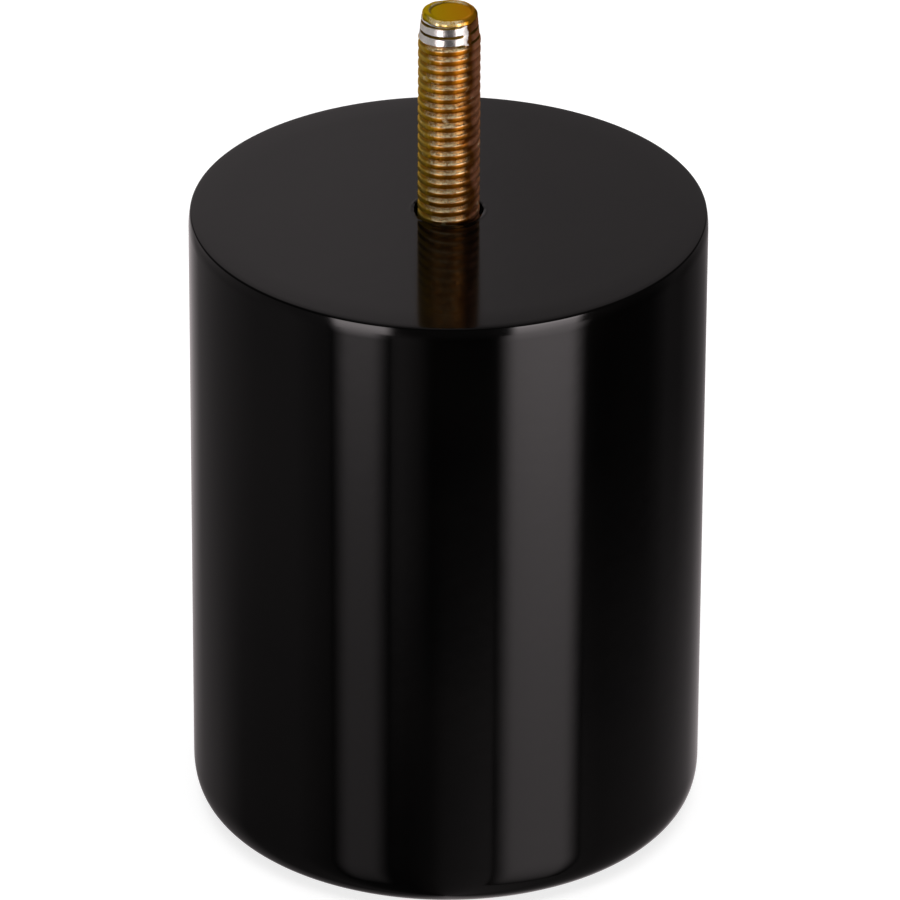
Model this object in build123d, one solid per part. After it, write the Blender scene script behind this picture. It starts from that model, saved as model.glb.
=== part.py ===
"""Round furniture leg: a plain turned wooden cylinder, lacquered, with a hanger bolt in its top.

Millimetres. The origin is the centre of the foot on the floor, and +Z runs up the axis of the leg
and of the bolt. Both pieces are turned, so each is one profile revolved about Z.
"""
import math
import os

from build123d import *

# Turned wooden body
leg_diameter = 62.5
leg_height = 80.0
foot_edge_radius = 4.5
top_edge_radius = 0.5

# Hanger bolt: the M8 stud that stands above the leg, at its rolled outside diameter
stud_diameter = 7.5
stud_length = 26.5
lead_in_length = 2.4
lead_in_depth = 0.25
end_chamfer_length = 0.9
end_chamfer_depth = 0.6

# Hanger bolt: the plain shank and the wood screw end inside the leg
shank_diameter = 7.0
shank_length = 5.0
wood_thread_diameter = 7.4
wood_thread_length = 19.5
wood_point_length = 9.0
wood_point_diameter = 0.8

# Bore in the top of the leg
mouth_clearance = 0.45
bore_end_clearance = 3.0
drill_point_angle = 118.0


def turned(points):
    """A solid of revolution about Z from the (radius, height) points of its half profile."""
    with BuildPart() as piece:
        with BuildSketch(Plane.XZ):
            with BuildLine():
                Polyline(*points, close=True)
            make_face()
        revolve(axis=Axis.Z)
    return piece.part


# Levels along the axis that both pieces share
stud_top = leg_height + stud_length
shank_bottom = leg_height - shank_length
wood_thread_bottom = shank_bottom - wood_thread_length
bolt_bottom = wood_thread_bottom - wood_point_length
bore_bottom = bolt_bottom - bore_end_clearance


def make_leg_body():
    """Turned cylinder with an eased top edge, a rounded foot edge and a stepped blind bore."""
    leg_radius = leg_diameter / 2
    mouth_radius = stud_diameter / 2 + mouth_clearance
    bore_radius = wood_thread_diameter / 2
    drill_point_length = bore_radius / math.tan(math.radians(drill_point_angle / 2))
    blank = turned([(0, 0), (leg_radius, 0), (leg_radius, leg_height), (0, leg_height)])
    rims = blank.edges().filter_by(GeomType.CIRCLE).sort_by(Axis.Z)
    body = fillet(rims[0], foot_edge_radius)
    top_rim = body.edges().filter_by(GeomType.CIRCLE).sort_by(Axis.Z)[-1]
    body = fillet(top_rim, top_edge_radius)
    bore = turned([
        (0, bore_bottom - drill_point_length),
        (bore_radius, bore_bottom),
        (bore_radius, shank_bottom),
        (mouth_radius, shank_bottom),
        (mouth_radius, leg_height),
        (0, leg_height),
    ])
    return body - bore


def make_hanger_bolt():
    """Stud with a chamfered end and reduced first threads, plain shank, wood screw end and point."""
    stud_radius = stud_diameter / 2
    lead_in_radius = stud_radius - lead_in_depth
    end_radius = lead_in_radius - end_chamfer_depth
    lead_in_top = stud_top - end_chamfer_length
    lead_in_bottom = lead_in_top - lead_in_length
    stud_shoulder = lead_in_bottom - lead_in_depth
    return turned([
        (0, bolt_bottom),
        (wood_point_diameter / 2, bolt_bottom),
        (wood_thread_diameter / 2, wood_thread_bottom),
        (wood_thread_diameter / 2, shank_bottom),
        (shank_diameter / 2, shank_bottom),
        (shank_diameter / 2, leg_height),
        (stud_radius, leg_height),
        (stud_radius, stud_shoulder),
        (lead_in_radius, lead_in_bottom),
        (lead_in_radius, lead_in_top),
        (end_radius, stud_top),
        (0, stud_top),
    ])


os.makedirs("parts", exist_ok=True)
export_step(make_leg_body(), "parts/leg_body.step")
export_step(make_hanger_bolt(), "parts/hanger_bolt.step")
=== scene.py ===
import math

import bmesh
import bpy
from mathutils import Matrix, Vector


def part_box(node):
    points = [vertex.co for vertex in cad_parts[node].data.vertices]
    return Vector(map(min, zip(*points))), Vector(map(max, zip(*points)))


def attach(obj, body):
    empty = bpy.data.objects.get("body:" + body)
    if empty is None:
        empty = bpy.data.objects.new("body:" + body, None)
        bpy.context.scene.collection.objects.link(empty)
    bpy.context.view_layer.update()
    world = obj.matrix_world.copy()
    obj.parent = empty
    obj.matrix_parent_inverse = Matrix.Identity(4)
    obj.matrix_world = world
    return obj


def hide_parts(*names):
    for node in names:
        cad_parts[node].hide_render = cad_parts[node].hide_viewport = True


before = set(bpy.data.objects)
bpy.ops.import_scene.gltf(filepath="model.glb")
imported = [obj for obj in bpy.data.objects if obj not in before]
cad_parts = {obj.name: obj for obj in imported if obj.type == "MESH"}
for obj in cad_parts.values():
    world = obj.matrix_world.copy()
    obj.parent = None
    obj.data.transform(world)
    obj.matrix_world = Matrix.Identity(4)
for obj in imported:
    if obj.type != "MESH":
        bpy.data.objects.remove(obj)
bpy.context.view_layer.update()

MM = 0.001


# Leg body: one plain cylinder turned from a block of wood and sprayed with satin black lacquer.
# The foot edge is rounded on the lathe and the top edge is only eased with sandpaper. A stepped
# blind hole down the axis takes the hanger bolt, and the lacquer is broken at its mouth.

def trace_half_profile(name, points):
    """Draws a line through (radius, height) points in the XZ plane, by extruding one vertex."""
    bpy.ops.object.select_all(action="DESELECT")
    bpy.ops.mesh.primitive_plane_add(size=MM)
    piece = bpy.context.object
    piece.name = piece.data.name = name
    bpy.ops.object.mode_set(mode="EDIT")
    bpy.ops.mesh.select_all(action="SELECT")
    bpy.ops.mesh.merge(type="COLLAPSE")
    first_radius, first_height = points[0]
    bpy.ops.transform.translate(value=(first_radius, 0, first_height))
    for (radius, height), (next_radius, next_height) in zip(points, points[1:]):
        step = (next_radius - radius, 0, next_height - height)
        bpy.ops.mesh.extrude_vertices_move(TRANSFORM_OT_translate={"value": step})
    return piece


# Points nearer than these count as one, for a selection or a cut and for a merge
same_place = 0.001 * MM
double_gap = 0.002 * MM


def select_points(piece, test):
    """In edit mode, selects the points whose place passes the test."""
    bpy.ops.mesh.select_mode(type="VERT")
    bpy.ops.mesh.select_all(action="DESELECT")
    mesh = bmesh.from_edit_mesh(piece.data)
    for point in mesh.verts:
        point.select_set(test(point.co))
    mesh.select_flush_mode()
    bmesh.update_edit_mesh(piece.data)


def round_corner(piece, radius, height, size, segments, fullness=0.5):
    """Rounds the profile's corner at that radius and height, as a bevel of one point."""
    corner = Vector((radius, 0, height))
    select_points(piece, lambda place: (place - corner).length < same_place)
    bpy.ops.mesh.bevel(offset=size, segments=segments, profile=fullness, affect="VERTICES",
                       clamp_overlap=False)


def close_mesh():
    """In edit mode, merges doubled points and turns all faces outwards."""
    bpy.ops.mesh.select_all(action="SELECT")
    bpy.ops.mesh.remove_doubles(threshold=double_gap)
    bpy.ops.mesh.normals_make_consistent(inside=False)


def turn_on_lathe(piece, steps):
    """Spins the traced profile all the way round Z and closes the seam and the poles."""
    bpy.ops.mesh.select_all(action="SELECT")
    bpy.ops.mesh.spin(steps=steps, angle=2 * math.pi, center=(0, 0, 0), axis=(0, 0, 1))
    close_mesh()
    bpy.ops.object.mode_set(mode="OBJECT")


leg_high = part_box("leg_body")[1]
leg_radius = leg_high.x
leg_height = leg_high.z

# The foot's rounding starts gently, a little above where a plain quarter circle would
foot_rounding = 6.0 * MM
foot_fullness = 0.61

# The sandpaper draws the top edge in and down by a hair over these widths of the wall and the top
eased_wall = 2.0 * MM
eased_top = 4.5 * MM
rim_inset = 0.20 * MM
rim_drop = 0.08 * MM
rim_radius = 0.22 * MM
ease_count = 5
ease_steps = [step / ease_count for step in range(ease_count + 1)]

# The hole, and the lip of lacquer that the drill raised round its mouth
mouth_radius = 4.2 * MM
bore_radius = 3.7 * MM
mouth_depth = 5.0 * MM
bore_depth = 36.5 * MM
drill_point = 2.2 * MM
lip_width = 0.5 * MM
lip_height = 0.05 * MM
lip_border = 0.1 * MM

wall_ease = [
    (leg_radius - rim_inset * t ** 2, leg_height - eased_wall + (eased_wall - rim_drop) * t)
    for t in ease_steps
]
rim_corner = wall_ease[-1]
top_ease = [
    (rim_corner[0] - eased_top * (1 - t), leg_height - rim_drop * t ** 2)
    for t in reversed(ease_steps[:-1])
]
leg_profile = [(0, 0), (leg_radius, 0)] + wall_ease + top_ease + [
    (mouth_radius + lip_width + 2 * lip_border, leg_height),
    (mouth_radius + lip_width + lip_border, leg_height),
    (mouth_radius + lip_width, leg_height),
    (mouth_radius + lip_width / 2, leg_height + lip_height),
    (mouth_radius, leg_height - lip_height),
    (mouth_radius, leg_height - mouth_depth),
    (bore_radius, leg_height - mouth_depth),
    (bore_radius, leg_height - bore_depth),
    (0, leg_height - bore_depth - drill_point),
]
leg = trace_half_profile("lacquered_leg", leg_profile)
round_corner(leg, leg_radius, 0, foot_rounding, segments=20, fullness=foot_fullness)
round_corner(leg, rim_corner[0], rim_corner[1], rim_radius, segments=6)
turn_on_lathe(leg, steps=256)


def ragged_edge(place, waves):
    """How far a ragged edge strays at that place round the axis: a sum of (size, count, start) waves."""
    angle = math.atan2(place.y, place.x)
    return sum(size * math.sin(count * angle + start) for size, count, start in waves)


# The drill tore the lacquer where it came through, so the mouth's edge runs in waves
mouth_waves = [(0.035 * MM, 5, 1.0), (0.025 * MM, 11, 2.2), (0.02 * MM, 23, 0.4)]
torn_radius = mouth_radius + 0.7 * lip_width
leg_crease = math.radians(35)
for point in leg.data.vertices:
    on_lip = abs(point.co.z - leg_height) < 2 * lip_height
    if on_lip and point.co.xy.length < torn_radius:
        point.co.xy *= 1 + ragged_edge(point.co, mouth_waves) / mouth_radius
bpy.ops.object.shade_smooth_by_angle(angle=leg_crease)


def new_material(name):
    """A material with its Principled shader, ready for more nodes."""
    material = bpy.data.materials.new(name)
    material.use_nodes = True
    return material, material.node_tree, material.node_tree.nodes["Principled BSDF"]


def add_node(tree, kind, settings=(), values=(), **sources):
    """Adds a node with its options, its unlinked inputs and, by input name, the outputs that feed it."""
    made = tree.nodes.new(kind)
    for key, value in dict(settings).items():
        setattr(made, key, value)
    for key, value in dict(values).items():
        made.inputs[key].default_value = value
    for key, source in sources.items():
        tree.links.new(source, made.inputs[key])
    return made


def add_ramp(tree, source, stops):
    """A colour ramp through (position, colour) stops, fed by the source."""
    ramp = add_node(tree, "ShaderNodeValToRGB", Fac=source)
    marks = ramp.color_ramp.elements
    marks[0].position = stops[0][0]
    marks[1].position = stops[-1][0]
    marks[0].color = (*stops[0][1], 1)
    marks[1].color = (*stops[-1][1], 1)
    for position, colour in stops[1:-1]:
        marks.new(position).color = (*colour, 1)
    return ramp.outputs["Color"]


lacquer, tree, shader = new_material("satin_black_lacquer")
shader.inputs["IOR"].default_value = 1.5
place = add_node(tree, "ShaderNodeTexCoord").outputs["Object"]

# Slight clouding of the black, and gloss that varies as sprayed lacquer does
clouds = add_node(tree, "ShaderNodeTexNoise", values={"Scale": 60.0, "Detail": 3.0}, Vector=place)
black = add_ramp(tree, clouds.outputs["Fac"], [
    (0.35, (0.0005, 0.0005, 0.0005)),
    (0.70, (0.0011, 0.0010, 0.0009)),
])
tree.links.new(black, shader.inputs["Base Color"])
gloss = add_node(tree, "ShaderNodeMapRange", values={"To Min": 0.09, "To Max": 0.11},
                 Value=clouds.outputs["Fac"])
tree.links.new(gloss.outputs["Result"], shader.inputs["Roughness"])

# Orange peel of the spray, with a few nibs of dust caught under it
peel = add_node(tree, "ShaderNodeTexNoise", values={"Scale": 420.0, "Detail": 2.0}, Vector=place)
peel_bump = add_node(tree, "ShaderNodeBump", values={"Strength": 0.02, "Distance": 0.2 * MM},
                     Height=peel.outputs["Fac"])
specks = add_node(tree, "ShaderNodeTexVoronoi", values={"Scale": 90.0}, Vector=place)
nibs = add_node(tree, "ShaderNodeMapRange", values={"From Min": 0.012, "From Max": 0.0},
                Value=specks.outputs["Distance"])
nib_bump = add_node(tree, "ShaderNodeBump", values={"Strength": 0.5, "Distance": 0.05 * MM},
                    Height=nibs.outputs["Result"], Normal=peel_bump.outputs["Normal"])
tree.links.new(nib_bump.outputs["Normal"], shader.inputs["Normal"])

leg.data.materials.append(lacquer)
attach(leg, "root")
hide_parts("leg_body")


# Hanger bolt: steel wire with a thread rolled on each end, zinc plated and dipped in yellow chromate.
# Its wood screw end is driven into the leg, and its M8 end stands out of the top as the stud.
# The first turns of the stud are cut down by the chamfer, and their coat is rubbed bare.

bolt_low, bolt_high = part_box("hanger_bolt")
stud_radius = bolt_high.x
stud_top = bolt_high.z
thread_pitch = 1.25 * MM
thread_depth = 0.46 * MM
crest_width = 0.70 * MM
root_width = 0.03 * MM
crest_falls = (0.02 * MM, 0.03 * MM)
crest_roundings = (0.05 * MM, 0.14 * MM)
thread_sink = 1.2 * MM

# The crown of every crest: how far up the crest it lies and how widely it is rounded, as shares of it
crown_place = 0.4
crown_rounding = 0.2


def roll_thread(name, root_radius, crest_radius, pitch, crest, root, falls, roundings,
                start_height, turns, steps):
    """One turn of thread traced from root to root, with a crowned crest, then screwed up the Z axis."""
    flank_rise = (pitch - crest - root) / 2
    lower_crest = start_height + root / 2 + flank_rise
    crown = lower_crest + crown_place * crest
    upper_crest = lower_crest + crest
    lower_fall, upper_fall = falls
    lower_rounding, upper_rounding = roundings
    piece = trace_half_profile(name, [
        (root_radius, start_height),
        (root_radius, start_height + root / 2),
        (crest_radius - lower_fall, lower_crest),
        (crest_radius, crown),
        (crest_radius - upper_fall, upper_crest),
        (root_radius, start_height + pitch - root / 2),
        (root_radius, start_height + pitch),
    ])
    round_corner(piece, crest_radius - lower_fall, lower_crest, lower_rounding, segments=3)
    round_corner(piece, crest_radius, crown, crown_rounding * crest, segments=4)
    round_corner(piece, crest_radius - upper_fall, upper_crest, upper_rounding, segments=5)
    bpy.ops.object.mode_set(mode="OBJECT")
    bpy.ops.object.modifier_add(type="SCREW")
    screw = piece.modifiers[-1]
    screw.screw_offset = pitch
    screw.iterations = turns
    screw.steps = screw.render_steps = steps
    bpy.ops.object.modifier_apply(modifier=screw.name)
    bpy.ops.object.mode_set(mode="EDIT")
    bpy.ops.mesh.select_all(action="SELECT")
    bpy.ops.mesh.remove_doubles(threshold=double_gap)
    return piece


def cut_across(height, keep_above=False, keep_below=False):
    """In edit mode, cuts a ring of points at that height, and saws off the side that isn't kept."""
    sawn = keep_above or keep_below
    bpy.ops.mesh.select_all(action="SELECT")
    bpy.ops.mesh.bisect(plane_co=(0, 0, height), plane_no=(0, 0, 1), use_fill=sawn,
                        threshold=same_place, clear_inner=keep_above, clear_outer=keep_below)


def limit_radius(outline, height):
    """The radius that an outline of (height, radius) points allows at that height."""
    for (low, low_radius), (high, high_radius) in zip(outline, outline[1:]):
        if height <= high:
            return low_radius + (high_radius - low_radius) * (height - low) / (high - low)
    return outline[-1][1]


# The wood screw end: a deep coarse thread on a tapered point, under a plain shank
shank_radius = 3.5 * MM
shank_length = 5.0 * MM
shank_bottom = leg_height - shank_length
wood_radius = 3.7 * MM
wood_core = 2.6 * MM
wood_pitch = 3.2 * MM
wood_crest = 0.25 * MM
wood_root = 1.6 * MM
wood_falls = (0.02 * MM, 0.02 * MM)
wood_roundings = (0.03 * MM, 0.03 * MM)
wood_thread_length = 19.5 * MM
wood_thread_bottom = shank_bottom - wood_thread_length
bolt_bottom = bolt_low.z
point_radius = 0.4 * MM
wood_turns = math.ceil((shank_bottom - bolt_bottom) / wood_pitch) + 2
wood_screw = roll_thread("wood_screw_end", wood_core, wood_radius, wood_pitch, wood_crest, wood_root,
                         wood_falls, wood_roundings, bolt_bottom - wood_pitch, wood_turns, steps=64)
cut_across(bolt_bottom, keep_above=True)
cut_across(shank_bottom, keep_below=True)
close_mesh()
mesh = bmesh.from_edit_mesh(wood_screw.data)
for point in mesh.verts:
    share = (point.co.z - bolt_bottom) / (wood_thread_bottom - bolt_bottom)
    point.co.xy *= min(1.0, (point_radius + (wood_radius - point_radius) * share) / wood_radius)
bmesh.update_edit_mesh(wood_screw.data)
bpy.ops.object.mode_set(mode="OBJECT")

thread_bottom = leg_height - thread_sink
shank_overlap = 0.3 * MM
shank = trace_half_profile("plain_shank", [
    (0, shank_bottom - shank_overlap),
    (wood_core - shank_overlap, shank_bottom - shank_overlap),
    (shank_radius, shank_bottom),
    (shank_radius, thread_bottom - shank_overlap),
    (wood_core, thread_bottom + shank_overlap),
    (0, thread_bottom + shank_overlap),
])
turn_on_lathe(shank, steps=96)

# The stud, sawn off at both ends; where its thread starts sets the height at which the turns lie
end_length = 0.80 * MM
thread_start = 1.35 * thread_pitch
thread_top = stud_top - end_length
thread_turns = math.ceil((thread_top - thread_bottom) / thread_pitch) + 2
stud = roll_thread("threaded_hanger_bolt", stud_radius - thread_depth, stud_radius, thread_pitch,
                   crest_width, root_width, crest_falls, crest_roundings,
                   thread_bottom - thread_start, thread_turns, steps=96)
cut_across(thread_bottom, keep_above=True)
cut_across(thread_top, keep_below=True)

# The first turns are cut down to this outline of (height, radius)
lead_in_depth = 0.25 * MM
lead_in_length = 2.4 * MM
lead_in_taper = 0.12 * MM
shoulder_height = 0.20 * MM
end_chamfer = 0.9 * MM
sawn_radius = 3.22 * MM
lead_in_radius = stud_radius - lead_in_depth
lead_in_top = stud_top - end_chamfer
lead_in_bottom = lead_in_top - lead_in_length
end_outline = [
    (lead_in_bottom - shoulder_height, stud_radius),
    (lead_in_bottom, lead_in_radius + lead_in_taper),
    (lead_in_top, lead_in_radius - lead_in_taper),
    (thread_top, sawn_radius),
]

# By degrees round the axis: how far the cut-down turns run together, and how far their coat is rubbed off
run_out = [(-180, 0.0), (-88, 0.0), (-66, 0.25), (-55, 1.0), (-46, 1.0), (-37, 0.0), (180, 0.0)]
rubbed_sides = [(-180, 1.0), (-58, 1.0), (-34, 0.0), (20, 0.0), (40, 1.0), (180, 1.0)]
lead_in_margin = 0.1 * MM
groove_depth = 0.05 * MM
for ring_height in (lead_in_bottom, lead_in_top):
    cut_across(ring_height)
close_mesh()
mesh = bmesh.from_edit_mesh(stud.data)
bare = mesh.verts.layers.float.new("bare")
recess_shade = mesh.verts.layers.float.new("recess_shade")
for point in mesh.verts:
    limit = limit_radius(end_outline, max(point.co.z, end_outline[0][0]))
    radius = point.co.xy.length
    if lead_in_bottom - lead_in_margin < point.co.z < lead_in_top + lead_in_margin:
        heading = math.degrees(math.atan2(point.co.y, point.co.x))
        filled = limit_radius(run_out, heading)
        point[bare] = max(float(radius > limit), filled) * limit_radius(rubbed_sides, heading)
        # Grooves between the cut-down turns, which keep their coat, are marked for painted shade
        point[recess_shade] = float(radius < limit - groove_depth) * (1 - filled)
        if radius < limit:
            point.co.xy *= 1 + filled * (limit / radius - 1)
    if radius > limit:
        point.co.xy *= limit / radius
bmesh.update_edit_mesh(stud.data)
bpy.ops.object.mode_set(mode="OBJECT")

# The rolled end: a lip round a shallow dish that lies off the middle
lip_bottom = stud_top - 0.70 * MM
lip_inside = 2.6 * MM
lip_outside = 3.1 * MM
dish_radius = 2.66 * MM
dish_depth = 0.28 * MM
dish_margin = 0.01 * MM
dish_shift = Vector((0.13 * MM, 0.05 * MM))
rolled_end = trace_half_profile("rolled_end", [
    (0, stud_top - 1.10 * MM),
    (2.70 * MM, stud_top - 1.10 * MM),
    (3.00 * MM, stud_top - 0.84 * MM),
    (3.20 * MM, stud_top - 0.78 * MM),
    (3.30 * MM, stud_top - 0.64 * MM),
    (3.28 * MM, stud_top - 0.46 * MM),
    (3.235 * MM, stud_top - 0.28 * MM),
    (3.15 * MM, stud_top - 0.12 * MM),
    (3.03 * MM, stud_top - 0.03 * MM),
    (2.90 * MM, stud_top),
    (dish_radius, stud_top),
    (2.52 * MM, stud_top - 0.8 * dish_depth),
    (2.40 * MM, stud_top - dish_depth),
    (2.20 * MM, stud_top - dish_depth),
    (0, stud_top - dish_depth),
])
turn_on_lathe(rolled_end, steps=128)

# Painted shade darkens the neck under the lip and one side of the dish, and the rolling left the lip wavy
# and lumpy
recess_shade = rolled_end.data.attributes.new("recess_shade", "FLOAT", "POINT")
neck_shade = 0.7
dish_shade = 0.3
shaded_side = Vector((-0.8, 0.6))
shaded_radius = 2.3 * MM
burr_waves = [(0.045 * MM, 2, 0.9), (0.03 * MM, 5, 2.0), (0.015 * MM, 9, 0.3)]
lump_waves = [(0.035 * MM, 5, 0.4), (0.03 * MM, 9, 1.9), (0.02 * MM, 15, 0.8)]
lip = []
for point in rolled_end.data.vertices:
    radius = point.co.xy.length
    in_dish = point.co.z > stud_top - 1.05 * dish_depth and radius < dish_radius + dish_margin
    # The neck below the lip and one side of the dish are marked for painted shade
    if point.co.z < lip_bottom:
        recess_shade.data[point.index].value = neck_shade
    if in_dish and point.co.z < stud_top - 0.5 * dish_depth and radius > shaded_radius:
        shade_share = max(0.0, shaded_side.dot(point.co.xy.normalized()))
        recess_shade.data[point.index].value = dish_shade * shade_share
    if point.co.z > lip_bottom and radius > lip_inside:
        point.co.z += ragged_edge(point.co, burr_waves)
        if radius > lip_outside:
            point.co.xy *= 1 + ragged_edge(point.co, lump_waves) / radius
        lip.append(point)
    if in_dish:
        point.co.xy += dish_shift
settle = stud_top - max(point.co.z for point in lip)
for point in lip:
    point.co.z += settle

bpy.ops.object.select_all(action="DESELECT")
for section in (wood_screw, shank, rolled_end, stud):
    section.select_set(True)
bpy.context.view_layer.objects.active = stud
bpy.ops.object.join()
thread_crease = math.radians(40)
bpy.ops.object.shade_smooth_by_angle(angle=thread_crease)

zinc, tree, shader = new_material("yellow_chromated_zinc")
shader.inputs["Specular Tint"].default_value = (1.0, 0.72, 0.30, 1)
texture_coords = add_node(tree, "ShaderNodeTexCoord")
place = texture_coords.outputs["Object"]
split = add_node(tree, "ShaderNodeSeparateXYZ", Vector=place)
facing = add_node(tree, "ShaderNodeSeparateXYZ", Vector=texture_coords.outputs["Normal"])


def join_values(tree, operation, first, second):
    """A Math node on two outputs, held between 0 and 1."""
    made = add_node(tree, "ShaderNodeMath", {"operation": operation, "use_clamp": True})
    tree.links.new(first, made.inputs[0])
    tree.links.new(second, made.inputs[1])
    return made.outputs["Value"]


def mix_colours(tree, share, first, second):
    """Passes from the first colour to the second as the share goes from 0 to 1."""
    made = add_node(tree, "ShaderNodeMix", {"data_type": "RGBA"})
    tree.links.new(share, made.inputs["Factor"])
    tree.links.new(first, made.inputs["A"])
    tree.links.new(second, made.inputs["B"])
    return made.outputs["Result"]


# The coat runs from yellow on one side of the bolt through golden brown to pink on the other; the ramp
# also paints a highlight, the lighter brown where the right-hand highlight falls, and painted shade, the
# dark brown just beyond it
blotch = add_node(tree, "ShaderNodeTexNoise", values={"Scale": 330.0, "Detail": 3.0}, Vector=place)
wander = add_node(tree, "ShaderNodeMapRange", values={
    "From Min": -stud_radius, "From Max": stud_radius, "To Min": -0.17, "To Max": 0.83},
    Value=split.outputs["X"])
wander.clamp = False
stray = add_node(tree, "ShaderNodeMapRange", values={"To Max": 0.34}, Value=blotch.outputs["Fac"])
across = join_values(tree, "ADD", wander.outputs["Result"], stray.outputs["Result"])
coat_with_painted_light = add_ramp(tree, across, [
    (0.05, (1.00, 0.70, 0.14)),
    (0.14, (0.98, 0.58, 0.030)),
    (0.24, (0.40, 0.17, 0.005)),
    (0.40, (0.30, 0.11, 0.004)),
    (0.50, (0.40, 0.13, 0.004)),
    # This lighter stop is a painted highlight, and the two darker stops after it are painted shade
    (0.60, (0.50, 0.165, 0.005)),
    (0.68, (0.32, 0.105, 0.005)),
    (0.76, (0.20, 0.070, 0.005)),
    (0.84, (0.32, 0.11, 0.020)),
    (0.93, (0.98, 0.44, 0.240)),
])

# The end is a brighter yellow, and turns orange and then brown on the same side; that brown is painted
# shade on that side of the end
end_coat_with_painted_shade = add_ramp(tree, across, [
    (0.15, (0.90, 0.67, 0.007)),
    (0.50, (0.98, 0.56, 0.007)),
    (0.80, (1.00, 0.44, 0.016)),
    # Painted shade: this brown mutes the lamp's reflection on that side of the lip
    (0.95, (0.30, 0.13, 0.010)),
])
end_share = add_node(tree, "ShaderNodeMapRange", values={
    "From Min": stud_top - 0.85 * MM, "From Max": stud_top - 0.70 * MM}, Value=split.outputs["Z"])
sides = mix_colours(tree, end_share.outputs["Result"], coat_with_painted_light, end_coat_with_painted_shade)

# Undersides stay clean and keep a metallic gold, because nothing rubs or settles there
under_share = add_node(tree, "ShaderNodeMapRange", values={"From Min": -0.20, "From Max": -0.60},
                       Value=facing.outputs["Z"])
clean = add_ramp(tree, blotch.outputs["Fac"], [(0.3, (0.50, 0.32, 0.13)), (0.7, (0.46, 0.27, 0.09))])
coated = mix_colours(tree, under_share.outputs["Result"], sides, clean)

# Upper flanks and the lip carry a pale colour, broken up by the plating's crystals: partly a thin, worn
# coat and partly a painted highlight that whitens the lamps' reflections on these upward faces; scuffs
# get it too, as real wear
crystals = add_node(tree, "ShaderNodeTexNoise", values={"Scale": 3600.0, "Detail": 2.0}, Vector=place)
thin = add_node(tree, "ShaderNodeMapRange", values={"From Min": 0.36, "From Max": 0.54, "To Min": 0.30},
                Value=crystals.outputs["Fac"])
none, whole = (0.0,) * 3, (1.0,) * 3
# Faces turned upward are lightened here: painted highlight
upward_highlight = add_ramp(tree, facing.outputs["Z"], [(0.08, none), (0.26, whole), (0.88, whole), (0.97, none)])
off_edge = add_ramp(tree, across, [(0.10, none), (0.22, whole), (0.64, whole), (0.80, none)])
scuff_noise = add_node(tree, "ShaderNodeTexNoise", values={"Scale": 520.0, "Detail": 4.0}, Vector=place)
scuffs = add_node(tree, "ShaderNodeMapRange", values={"From Min": 0.64, "From Max": 0.72, "To Max": 0.8},
                  Value=scuff_noise.outputs["Fac"])
sideways = add_ramp(tree, facing.outputs["Z"], [(0.5, whole), (0.8, none)])
knocks = join_values(tree, "MULTIPLY", scuffs.outputs["Result"], sideways)
flank_share = join_values(tree, "MULTIPLY", upward_highlight, off_edge)
pale_flank_highlights = join_values(tree, "MULTIPLY", flank_share, thin.outputs["Result"])
patches = add_node(tree, "ShaderNodeMapRange", values={"From Min": 0.42, "From Max": 0.56},
                   Value=blotch.outputs["Fac"])
lip_share = join_values(tree, "MULTIPLY", end_share.outputs["Result"], sideways)
pale_patches = join_values(tree, "MULTIPLY", patches.outputs["Result"], off_edge)
# The pale patches on the lip's sides are partly a painted highlight
pale_lip_highlights = join_values(tree, "MULTIPLY", lip_share, pale_patches)
thin_coat_and_highlight_share = join_values(tree, "MAXIMUM", pale_flank_highlights, pale_lip_highlights)
wear_and_highlight_share = join_values(tree, "MAXIMUM", thin_coat_and_highlight_share, knocks)
pale = add_ramp(tree, blotch.outputs["Fac"], [(0.3, (0.98, 0.82, 0.50)), (0.7, (0.97, 0.76, 0.42))])
worn_and_highlit = mix_colours(tree, wear_and_highlight_share, coated, pale)

# Dull dark olive is painted in the grooves between the cut-down turns, under the lip and on one side of
# the dish: painted shade in these recesses, where the grooves keep their coat
groove = add_node(tree, "ShaderNodeAttribute", {"attribute_name": "recess_shade"})
olive = add_ramp(tree, blotch.outputs["Fac"], [(0.3, (0.16, 0.11, 0.010)), (0.7, (0.26, 0.14, 0.012))])
olive_shade_share = add_node(tree, "ShaderNodeMapRange", values={"From Min": 0.05, "From Max": 0.35},
                       Value=groove.outputs["Fac"])
with_painted_shade = mix_colours(tree, olive_shade_share.outputs["Result"], worn_and_highlit, olive)

# Bare zinc on the cut-down turns, with a ragged border
rubbed = add_node(tree, "ShaderNodeAttribute", {"attribute_name": "bare"})
fray = add_node(tree, "ShaderNodeTexNoise", values={"Scale": 1300.0, "Detail": 3.0}, Vector=place)
ragged = add_node(tree, "ShaderNodeMath", {"operation": "ADD"})
tree.links.new(rubbed.outputs["Fac"], ragged.inputs[0])
tree.links.new(fray.outputs["Fac"], ragged.inputs[1])
bare_share = add_node(tree, "ShaderNodeMapRange", values={"From Min": 1.16, "From Max": 1.28},
                      Value=ragged.outputs["Value"])
bare_zinc = add_ramp(tree, crystals.outputs["Fac"], [
    (0.3, (0.80, 0.78, 0.75)),
    (0.7, (0.90, 0.88, 0.85)),
])
surface = mix_colours(tree, bare_share.outputs["Result"], with_painted_shade, bare_zinc)
tree.links.new(surface, shader.inputs["Base Color"])

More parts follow.
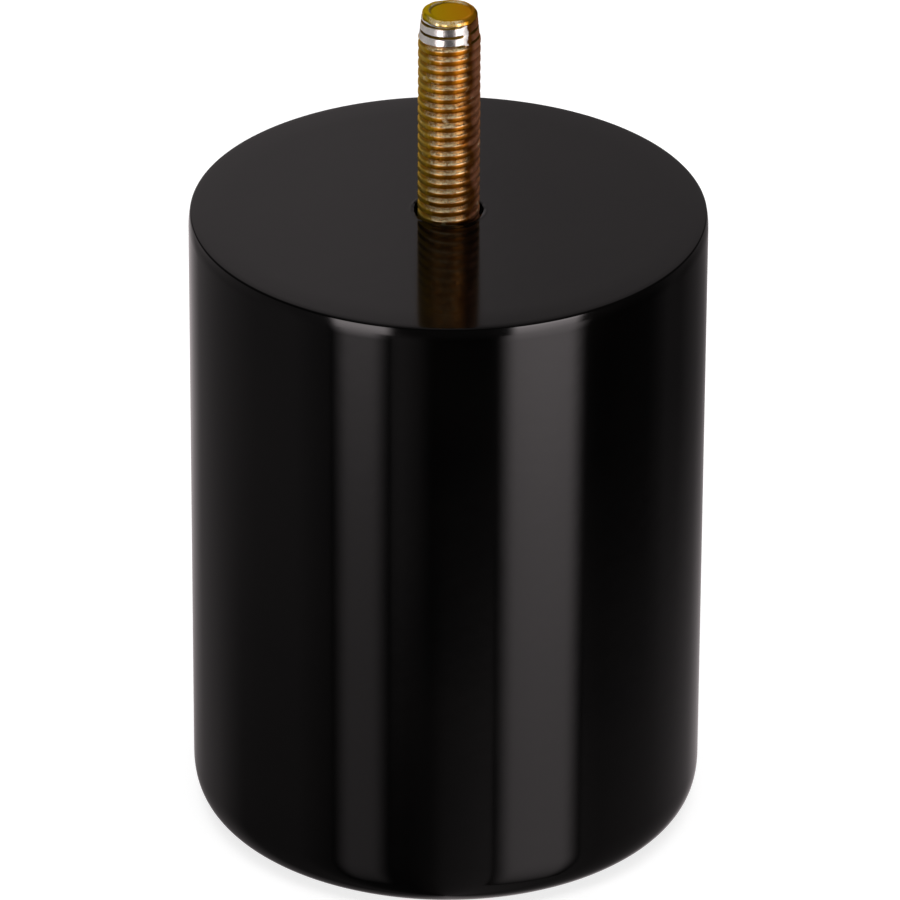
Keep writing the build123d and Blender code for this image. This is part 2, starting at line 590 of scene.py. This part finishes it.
# The coat is a satin film on the metal and the bare zinc is brighter, both with the plating's grain
film_share = add_node(tree, "ShaderNodeMapRange", values={"To Min": 0.92, "To Max": 0.60},
                      Value=wear_and_highlight_share)
film = join_values(tree, "MAXIMUM", film_share.outputs["Result"], under_share.outputs["Result"])
polish = add_ramp(tree, across, [(0.10, none), (0.38, whole), (0.62, whole), (0.78, none)])
bare_film = add_node(tree, "ShaderNodeMapRange", values={"To Min": 0.45, "To Max": 0.97}, Value=polish)
metal = mix_colours(tree, bare_share.outputs["Result"], film, bare_film.outputs["Result"])
tree.links.new(metal, shader.inputs["Metallic"])
bright_share = join_values(tree, "MAXIMUM", wear_and_highlight_share, under_share.outputs["Result"])
sheen = add_node(tree, "ShaderNodeMapRange", values={"To Min": 0.35, "To Max": 0.20}, Value=bright_share)
bare_sheen = add_node(tree, "ShaderNodeMapRange", values={"To Min": 0.45, "To Max": 0.25}, Value=polish)
gloss = mix_colours(tree, bare_share.outputs["Result"], sheen.outputs["Result"],
                    bare_sheen.outputs["Result"])
tree.links.new(gloss, shader.inputs["Roughness"])
grain_bump = add_node(tree, "ShaderNodeBump", values={"Strength": 0.4, "Distance": 0.04 * MM},
                      Height=crystals.outputs["Fac"])
tree.links.new(grain_bump.outputs["Normal"], shader.inputs["Normal"])

stud.data.materials.append(zinc)
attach(stud, "root")
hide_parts("hanger_bolt")


# Floor and backdrop: one sweep of white paper, flat under the leg and curved up far off on all sides.
# It takes the leg's shadow and is there for the camera alone, so that the black lacquer mirrors
# the dark studio and its lamps.

floor_radius = 3.0
backdrop_height = 2.6
cove_radius = 1.2
floor = trace_half_profile("paper_sweep", [(0, 0), (floor_radius, 0), (floor_radius, backdrop_height)])
round_corner(floor, floor_radius, 0, cove_radius, segments=24)
turn_on_lathe(floor, steps=96)
bpy.ops.object.mode_set(mode="EDIT")
bpy.ops.mesh.select_all(action="SELECT")
bpy.ops.mesh.flip_normals()
bpy.ops.object.mode_set(mode="OBJECT")
bpy.ops.object.shade_smooth()
floor.visible_diffuse = False
floor.visible_glossy = False
floor.visible_transmission = False
floor.visible_shadow = False
paper, tree, shader = new_material("white_paper")
shader.inputs["Base Color"].default_value = (0.42, 0.42, 0.42, 1)
shader.inputs["Roughness"].default_value = 0.9
shader.inputs["Emission Color"].default_value = (1, 1, 1, 1)
shader.inputs["Emission Strength"].default_value = 0.77
floor.data.materials.append(paper)


# Studio: two upright softboxes in front, each with a brighter head above it, which draw the two bands
# on the lacquer and the thread; a soft lamp overhead and one in front, which nothing mirrors, for the
# floor and the grooves; and a dark room with a paler wall behind the leg.

softbox_distance = 1.0
lamp_tint = (1.0, 0.91, 0.925)


def tinted(level):
    """A brightness in the slightly warm colour that all the lamps and the room share."""
    return tuple(level * part for part in lamp_tint)


def add_softbox(name, azimuth, half_width, soft_edge, levels):
    """A glowing panel that faces the leg, with (height, brightness) levels and soft side edges."""
    low, high = levels[0][0], levels[-1][0]
    brightest = max(level for height, level in levels)
    bpy.ops.object.select_all(action="DESELECT")
    bpy.ops.mesh.primitive_plane_add(size=1.0)
    panel = bpy.context.object
    panel.name = panel.data.name = name
    turn = Matrix.Rotation(math.radians(azimuth), 4, "Z")
    spread = Matrix.Diagonal((2 * half_width, high - low, 1, 1))
    stand = Matrix.Rotation(math.radians(90), 4, "X") @ spread
    move = Matrix.Translation((0, -softbox_distance, (low + high) / 2))
    panel.data.transform(turn @ move @ stand)
    panel.visible_camera = False
    glow = bpy.data.materials.new(name)
    glow.use_nodes = True
    tree = glow.node_tree
    tree.nodes.clear()
    place = add_node(tree, "ShaderNodeTexCoord").outputs["Object"]
    own = add_node(tree, "ShaderNodeMapping", values={"Rotation": (0, 0, -math.radians(azimuth))},
                   Vector=place)
    split = add_node(tree, "ShaderNodeSeparateXYZ", Vector=own.outputs["Vector"])
    rise = add_node(tree, "ShaderNodeMapRange", values={"From Min": low, "From Max": high},
                    Value=split.outputs["Z"])
    upright = add_ramp(tree, rise.outputs["Result"], [
        ((height - low) / (high - low), tinted(level / brightest)) for height, level in levels])
    off_centre = add_node(tree, "ShaderNodeMath", {"operation": "ABSOLUTE"})
    tree.links.new(split.outputs["X"], off_centre.inputs[0])
    sides = add_node(tree, "ShaderNodeMapRange", {"interpolation_type": "SMOOTHSTEP"}, {
        "From Min": half_width, "From Max": half_width - soft_edge, "To Max": brightest},
        Value=off_centre.outputs["Value"])
    light = add_node(tree, "ShaderNodeEmission", Color=upright, Strength=sides.outputs["Result"])
    output = add_node(tree, "ShaderNodeOutputMaterial")
    tree.links.new(light.outputs["Emission"], output.inputs["Surface"])
    panel.data.materials.append(glow)


add_softbox("right_softbox", azimuth=42.2, half_width=0.39, soft_edge=0.19, levels=[
    (-1.30, 0.0), (-0.80, 0.56), (-0.55, 0.82), (-0.47, 1.10),
    (-0.41, 1.62), (-0.33, 1.9), (-0.25, 2.1),
])
add_softbox("left_softbox", azimuth=-38.3, half_width=0.25, soft_edge=0.165, levels=[
    (-1.30, 0.0), (-0.80, 0.22), (-0.54, 0.31), (-0.47, 0.40),
    (-0.41, 0.72), (-0.33, 1.4), (-0.25, 2.1),
])
add_softbox("right_head", azimuth=42.0, half_width=0.31, soft_edge=0.09, levels=[
    (-0.25, 2.1), (-0.10, 3.6), (0.0, 4.7), (0.20, 4.7), (0.34, 0.0),
])
add_softbox("left_head", azimuth=-36.5, half_width=0.26, soft_edge=0.09, levels=[
    (-0.25, 2.1), (-0.10, 3.7), (0.10, 3.7), (0.24, 0.0),
])


def add_soft_lamp(name, location, tilt, size, energy):
    """A square lamp tilted back from straight down, which lights the scene but is never mirrored."""
    bpy.ops.object.light_add(type="AREA", location=location, rotation=(math.radians(tilt), 0, 0))
    lamp = bpy.context.object
    lamp.name = lamp.data.name = name
    lamp.data.size = size
    lamp.data.energy = energy
    lamp.visible_camera = False
    lamp.visible_glossy = False


add_soft_lamp("overhead_lamp", location=(0, 0, 1.2), tilt=0, size=1.2, energy=14)
add_soft_lamp("front_lamp", location=(0, -1.3, 0.25), tilt=83, size=0.6, energy=8)

# The room by azimuth from the front: on the floor, low down, at the leg's own level, and high up
world = bpy.data.worlds.new("dark_studio")
bpy.context.scene.world = world
world.use_nodes = True
tree = world.node_tree
look = add_node(tree, "ShaderNodeTexCoord").outputs["Generated"]
front_first = add_node(tree, "ShaderNodeMapping", values={"Rotation": (0, 0, math.radians(90))},
                       Vector=look)
azimuth = add_node(tree, "ShaderNodeTexGradient", {"gradient_type": "RADIAL"},
                   Vector=front_first.outputs["Vector"])
split = add_node(tree, "ShaderNodeSeparateXYZ", Vector=look)


def add_room(levels):
    """The room's brightness all round, from (azimuth in degrees, brightness) levels."""
    return add_ramp(tree, azimuth.outputs["Fac"], [
        (0.5 + angle / 360, tinted(level)) for angle, level in levels])


def blend_upwards(lower, upper, start, end):
    """Passes from the lower room to the upper one between two heights of the look direction."""
    share = add_node(tree, "ShaderNodeMapRange", values={"From Min": start, "From Max": end},
                     Value=split.outputs["Z"])
    return mix_colours(tree, share.outputs["Result"], lower, upper)


floor_room = add_room([
    (-180, 0.45), (-162, 0.18), (-146, 0.145), (-127, 0.13), (-106, 0.05), (-71, 0.07), (-45, 0.02),
    (-17, 0.01), (-7, 0.04), (0, 0.10), (20, 0.17), (45, 0.13), (75, 0.08), (108, 0.10), (138, 0.165),
    (146, 0.20), (155, 0.32), (180, 0.60),
])
low_room = add_room([
    (-180, 0.80), (-162, 0.50), (-146, 0.165), (-127, 0.135), (-95, 0.105), (-71, 0.13), (-45, 0.04),
    (-26, 0.13), (-20, 0.16), (-13, 0.09), (-7, 0.0), (75, 0.0), (100, 0.01), (114, 0.05), (126, 0.035),
    (146, 0.075), (160, 0.13), (180, 0.40),
])
middle_room = add_room([
    (-180, 0.45), (-130, 0.32), (-105, 0.18), (-85, 0.12), (-60, 0.10), (-30, 0.05), (-10, 0.03),
    (10, 0.03), (30, 0.05), (90, 0.02), (128, 0.10), (180, 0.30),
])
high_room = add_room([
    (-180, 0.34), (-166, 0.36), (-150, 0.06), (-90, 0.02), (0, 0.01), (90, 0.02), (150, 0.035),
    (166, 0.23), (180, 0.24),
])
ceiling = add_room([(-180, 0.10), (-128, 0.05), (-90, 0.02), (90, 0.02), (128, 0.03), (180, 0.06)])
skylight = add_room([(-180, 0.15), (180, 0.15)])
room = blend_upwards(floor_room, low_room, -0.51, -0.465)
room = blend_upwards(room, middle_room, -0.38, -0.22)
room = blend_upwards(room, high_room, 0.0, 0.25)
room = blend_upwards(room, ceiling, 0.44, 0.75)
room = blend_upwards(room, skylight, 0.84, 0.94)
tree.links.new(room, tree.nodes["Background"].inputs["Color"])


# Camera: a long lens a metre off, looking down at the leg as the photograph does.

camera_lens = 348.0
sensor_width = 36.0
camera_distance = 1.0605
camera_elevation = math.radians(28.39)
camera_roll = math.radians(0.3)
camera_target = Vector((0.33 * MM, 0, 47.1 * MM))
bpy.ops.object.camera_add()
camera = bpy.context.object
camera.name = "product_camera"
camera.data.lens = camera_lens
camera.data.sensor_width = sensor_width
camera_back = Vector((0, -math.cos(camera_elevation), math.sin(camera_elevation)))
tilt = Matrix.Rotation(math.pi / 2 - camera_elevation, 4, "X")
camera.matrix_world = (
    Matrix.Translation(camera_target + camera_back * camera_distance)
    @ tilt
    @ Matrix.Rotation(camera_roll, 4, "Z")
)
bpy.context.scene.camera = camera
bpy.context.scene.view_settings.view_transform = "Standard"
